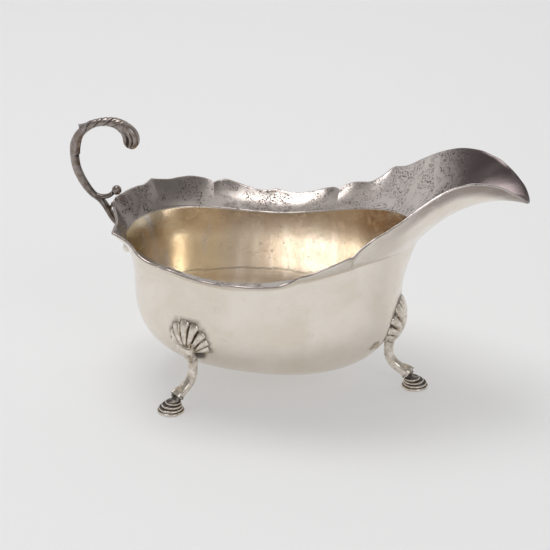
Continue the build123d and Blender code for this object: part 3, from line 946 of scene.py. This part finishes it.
# ---------------------------------------------------------------- operators
class BOAT_OT_bowl(bpy.types.Operator):
    """Raised bowl with its flared rim and spout, as one closed sheet"""
    bl_idname = "boat.bowl"
    bl_label = "Bowl"

    def execute(self, context):
        shape = context.scene.boat_shape
        columns, inside = [], []
        for place, share, lift, spare in self.rim_stations(shape):
            line, marks = inner_column(place, share, lift, spare, shape)
            columns.append(line)
            inside.append(marks)
        for line in (columns[0], columns[-1]):
            for point in line:
                point.y = 0.0
        mirror = [[self.mirrored(p, shape) for p in line] for line in columns[-2:0:-1]]
        inside += inside[-2:0:-1]
        columns += mirror
        normals = grid_normals(columns)
        points, marks = self.skins(columns, normals, inside, shape)
        rows = len(points) // len(columns)
        faces = grid_faces(len(columns), rows, False)
        last = (len(columns) - 1) * rows
        faces += [(last + r, last + r + 1, r + 1, r) for r in range(rows - 1)]
        self.close_ends(points, faces, marks, rows, len(columns))
        new_piece("silver_bowl", points, faces, "tarnished_sheet", ["bowl"], marks)
        return {"FINISHED"}

    @staticmethod
    def rim_stations(shape):
        """Place, share, smoothed lift and what it misses, for every point along half the rim."""
        stations, lifts = [], []
        for x, y, z in rim_outline(shape.rim_spacing):
            if y == 0.0:
                place = 0.0 if x < 0 else len(FLARE_STATIONS) - 1.0
                foot, edge = flare_point(place, 0.0), flare_point(place, 1.0)
                share = (x - foot.x) / (edge.x - foot.x)
            else:
                place, share = rim_column(x, y)
            stations.append((place, share))
            hollow = shape.concave * smooth_step((station_at(place)[0] - 8) / 25)
            gap = z - flare_point(place, share).z + 4 * hollow * share * (1 - share)
            lifts.append(gap / share ** 2)
        count, span = len(lifts), shape.lift_span
        smooth = []
        for i in range(count):
            near = [lifts[min(abs(k), 2 * count - 2 - k if k >= count else abs(k))]
                    for k in range(i - span, i + span + 1)]
            weights = [1 - abs(k) / (span + 1) for k in range(-span, span + 1)]
            smooth.append(sum(v * w for v, w in zip(near, weights)) / sum(weights))
        return [(place, share, even, (lift - even) * share ** 2)
                for (place, share), lift, even in zip(stations, lifts, smooth)]

    @staticmethod
    def skins(columns, normals, inside, shape):
        """Inner skin, rounded rim edge and outer skin of every column, in one list."""
        points = []
        marks = {"inside": [], "flare": [], "edge": [], "lip": [], "joint_tarnish_and_shade": []}
        half = shape.sheet / 2
        for line, tilt, lining in zip(columns, normals, inside):
            heaved = [p + n * shape.ripple * noise.noise(p * 0.045) for p, n in zip(line, tilt)]
            points += heaved
            marks["inside"] += lining
            marks["flare"] += [1 - i for i in lining]
            marks["edge"] += [0.0] * (len(line) - 1) + [0.5]
            for name in ("joint_tarnish_and_shade", "lip"):
                marks[name] += [0.0] * len(line)
            end, normal = heaved[-1], tilt[-1]
            outward = (heaved[-1] - heaved[-3]).normalized()
            for turn in (0.25, 0.5, 0.75):
                ring = -normal * (1 - cos(pi * turn)) + outward * 0.7 * sin(pi * turn)
                points.append(end + ring * half)
                for name in marks:
                    marks[name].append({"edge": 1.0, "lip": 0.3}.get(name, 0.0))
            outer = [p - n * shape.sheet for p, n in zip(heaved, tilt)]
            for p in reversed(outer):
                points.append(p)
                marks["joint_tarnish_and_shade"].append(joint_tarnish_and_shade_at(p, shape))
                near = 1 - smooth_step(((p - outer[-1]).length - 3.5) / shape.lip)
                marks["lip"].append(near * smooth_step((outer[-1].x - 38) / 22))
            for name in ("inside", "flare", "edge"):
                marks[name] += [0.0] * len(outer)
        return points, marks

    @staticmethod
    def mirrored(point, shape):
        """Same point on the other side, where the front of the lip is bent up and in a little."""
        bend = smooth_step((point.z - crease_height(point.x)) / BEND_HEIGHT) * shape.bend
        bend *= smooth_step((point.x - BEND_START_X) / BEND_START_SPAN)
        bend *= 1 - smooth_step((point.x - BEND_END_X) / BEND_END_SPAN)
        return Vector((point.x, bend * BEND_INWARD - point.y, point.z + bend))

    @staticmethod
    def close_ends(points, faces, marks, rows, count):
        """Fan over the small holes in the middle of the floor, inside and under."""
        for r in (0, rows - 1):
            ring = [c * rows + r for c in range(count)]
            points.append(sum((Vector(points[i]) for i in ring), Vector()) / count)
            hub = len(points) - 1
            for c in range(count):
                edge = (ring[c], ring[(c + 1) % count])
                faces.append((*(edge if r == 0 else reversed(edge)), hub))
            for values in marks.values():
                values.append(values[ring[0]])


class BOAT_OT_handle(bpy.types.Operator):
    """Flying scroll handle: stem with volute, leaf, spur and lower bracket"""
    bl_idname = "boat.handle"
    bl_label = "Handle"

    def execute(self, context):
        stem = Shape()
        sweep(stem, HANDLE_RAIL, HANDLE_WIDTHS, HANDLE_DEPTHS, 260, 96, stem_profile)
        stem.piece("silver_handle_scroll", "tarnished_handle", ["handle_scroll"])

        start, stop = LEAF_SPAN
        path = [spline(HANDLE_RAIL, s) for s in spread(16, start, stop)]
        widths = [spline([(w,) for w in HANDLE_WIDTHS], s)[0] for s in spread(16, start, stop)]
        depths = [spline([(d,) for d in HANDLE_DEPTHS], s)[0] for s in spread(16, start, stop)]
        leaf = Shape()
        sweep(leaf, path, widths, depths, 200, 80, leaf_profile)
        leaf.piece("silver_handle_leaf", "tarnished_handle", ["handle_leaf"])

        spur = Shape()
        sweep(spur, SPUR_RAIL, [3.0, 2.6, 2.3, 2.1, 1.9], [2.6, 2.2, 2.0, 1.8, 1.7], 40, 32,
              plain_profile(0.03))
        x, z, radius = SPUR_BALL
        ball(spur, (x, 0, z), radius)
        ball(spur, (x - 0.8, 1.6, z - 1.9), 1.1, (1, 1, 0.7))
        spur.piece("silver_handle_spur", "tarnished_handle", ["handle_spur"])

        bracket = Shape()
        sweep(bracket, BRACKET_RAIL, [3.0, 3.3, 3.6, 4.0, 4.4, 4.2, 3.2, 2.6, 2.3, 2.0],
              [2.2, 2.4, 2.5, 2.4, 2.3, 2.3, 2.1, 2.0, 1.9, 1.8], 70, 36, plain_profile(0.03))
        x, z, radius = BRACKET_BALL
        ball(bracket, (x, 0, z), radius, mark=0.35)
        bracket.piece("silver_handle_bracket", "tarnished_handle", ["handle_bracket"])
        return {"FINISHED"}


class BOAT_OT_legs(bpy.types.Operator):
    """Three scroll legs with hoofs"""
    bl_idname = "boat.legs"
    bl_label = "Legs"

    def execute(self, context):
        for side, leg in LEGS.items():
            stem = Shape()
            sweep(stem, LEG_RAIL, LEG_WIDTHS, LEG_DEPTHS, 90, 48, leg_profile)
            stem.moved(leg.matrix)
            stem.piece(f"silver_leg_{side}", "tarnished_casting", [f"leg_{side}"])
        return {"FINISHED"}


class BOAT_OT_shells(bpy.types.Operator):
    """Ribbed shells that hold the legs to the bowl, each with the cup under it"""
    bl_idname = "boat.shells"
    bl_label = "Leg shells"

    def execute(self, context):
        for side, leg in LEGS.items():
            fan = Shape()
            sweep(fan, CUP_RAIL, CUP_WIDTHS, CUP_DEPTHS, 40, 48, cup_profile)
            fan.moved(leg.matrix)
            shell_skin(fan, leg, context.scene.boat_shape)
            fan.piece(f"silver_leg_shell_{side}", "tarnished_casting", [f"leg_shell_{side}"])
        return {"FINISHED"}


class BOAT_OT_pads(bpy.types.Operator):
    """Ringed foot pads"""
    bl_idname = "boat.pads"
    bl_label = "Foot pads"

    def execute(self, context):
        for side, leg in LEGS.items():
            pad = Shape()
            rings, marks = pad_profile(PAD_RINGS, PAD_NECK)
            pad.skin(rings, marks)
            pad.moved(leg.matrix)
            pad.piece(f"silver_foot_pad_{side}", "tarnished_casting", [f"foot_pad_{side}"])
        return {"FINISHED"}


class BOAT_OT_stage(bpy.types.Operator):
    """Floor sweep, soft lights, tent and camera"""
    bl_idname = "boat.stage"
    bl_label = "Stage"

    def execute(self, context):
        stage = context.scene.boat_stage
        self.paper(stage)
        self.tent(context.scene, stage)
        self.camera(context.scene, stage)
        return {"FINISHED"}

    @staticmethod
    def paper(stage):
        """Floor that curves up into a backdrop behind the boat, coloured darker toward the right as
        painted shade.
        """
        profile = [(-FLOOR_HALF, 0.0), (FLOOR_BEND_Y, 0.0)]
        profile += [(FLOOR_BEND_Y + FLOOR_BEND_RADIUS * sin(a), FLOOR_BEND_RADIUS * (1 - cos(a)))
                    for a in spread(17, 0.1, pi / 2)]
        profile += [(FLOOR_BEND_Y + FLOOR_BEND_RADIUS, BACKDROP_TOP)]
        columns = list(spread(FLOOR_COLUMNS, -FLOOR_HALF, FLOOR_HALF))
        points = [(x, y, z) for y, z in profile for x in columns]
        mesh = bpy.data.meshes.new("paper")
        mesh.from_pydata(points, [], grid_faces(len(profile), FLOOR_COLUMNS, False))
        for face in mesh.polygons:
            face.use_smooth = True
        floor = bpy.data.objects.new("paper", mesh)
        bpy.context.scene.collection.objects.link(floor)
        material = bpy.data.materials.new("paper")
        f = Finish(material)
        shade = f.grain(f.place(), 0.004, 2.0)
        # Painted shade: the paper's colour darkens toward the right
        shade = shade * 0.1 + f.axis(f.place(), "X").step(-0.05, 0.45) * 0.75
        colour = f.mix(shade, stage.paper, stage.paper_right_shade)
        surface = f.add("ShaderNodeBsdfPrincipled", sockets={
            "Base Color": colour, "Roughness": 0.7, "Emission Color": (1.0, 1.0, 1.0, 1.0),
            "Emission Strength": stage.glow})
        f.add("ShaderNodeOutputMaterial", sockets={"Surface": surface})
        mesh.materials.append(material)

    @staticmethod
    def tent(scene, stage):
        """World brightness by direction, and one large softbox."""
        world = bpy.data.worlds.new("tent")
        scene.world = world
        f = Finish(world)
        direction = f.add("ShaderNodeTexCoord", output="Generated")
        height = f.axis(direction, "Z").step(0.12, 0.62)
        above = f.axis(direction, "Y").step(-0.2, 0.6) * (stage.sky_back - stage.sky) + stage.sky
        light = height * (above - stage.walls) + stage.walls
        light = light * (1.0 - f.axis(direction, "X").step(0.1, 0.9) * stage.right_shade)
        back = f.add("ShaderNodeBackground", sockets={"Color": TENT_COLOUR, "Strength": light})
        f.add("ShaderNodeOutputWorld", sockets={"Surface": back})
        for name, place, size, power in (("key", KEY_PLACE, KEY_SIZE, stage.key_power),
                                         ("fill", FILL_PLACE, FILL_SIZE,
                                          stage.key_power * FILL_SHARE)):
            lamp = bpy.data.lights.new(name, "AREA")
            lamp.size, lamp.energy = size, power
            holder = bpy.data.objects.new(name, lamp)
            holder.location = place
            holder.rotation_euler = (-Vector(place)).to_track_quat("-Z", "Y").to_euler()
            scene.collection.objects.link(holder)

    @staticmethod
    def camera(scene, stage):
        lens = bpy.data.cameras.new("camera")
        lens.lens, lens.sensor_width = stage.lens, 36.0
        lens.clip_start, lens.clip_end = 0.05, 20.0
        holder = bpy.data.objects.new("camera", lens)
        holder.location = stage.camera
        heading = Vector(stage.target) - Vector(stage.camera)
        holder.rotation_euler = heading.to_track_quat("-Z", "Y").to_euler()
        scene.collection.objects.link(holder)
        scene.camera = holder
        scene.view_settings.view_transform = "Standard"
        scene.view_settings.look = "None"


class BOAT_PT_panel(bpy.types.Panel):
    """Builds the boat piece by piece"""
    bl_idname = "BOAT_PT_panel"
    bl_label = "Sauce boat"
    bl_space_type = "VIEW_3D"
    bl_region_type = "UI"
    bl_category = "Sauce boat"

    def draw(self, context):
        for operator in OPERATORS:
            self.layout.operator(operator.bl_idname)
        for group in (context.scene.boat_shape, context.scene.boat_finish, context.scene.boat_stage):
            box = self.layout.box()
            for name in group.__annotations__:
                box.prop(group, name)


GROUPS = {"boat_shape": BoatShape, "boat_finish": BoatFinish, "boat_stage": BoatStage}
OPERATORS = [BOAT_OT_bowl, BOAT_OT_handle, BOAT_OT_legs, BOAT_OT_shells, BOAT_OT_pads,
             BOAT_OT_stage]


def register():
    for name, group in GROUPS.items():
        bpy.utils.register_class(group)
        setattr(bpy.types.Scene, name, PointerProperty(type=group))
    for operator in OPERATORS:
        bpy.utils.register_class(operator)
    bpy.utils.register_class(BOAT_PT_panel)


def unregister():
    bpy.utils.unregister_class(BOAT_PT_panel)
    for operator in reversed(OPERATORS):
        bpy.utils.unregister_class(operator)
    for name, group in GROUPS.items():
        delattr(bpy.types.Scene, name)
        bpy.utils.unregister_class(group)


def main():
    register()
    for step in (bpy.ops.boat.bowl, bpy.ops.boat.handle, bpy.ops.boat.legs, bpy.ops.boat.shells,
                 bpy.ops.boat.pads, bpy.ops.boat.stage):
        step()


if __name__ == "__main__":
    main()
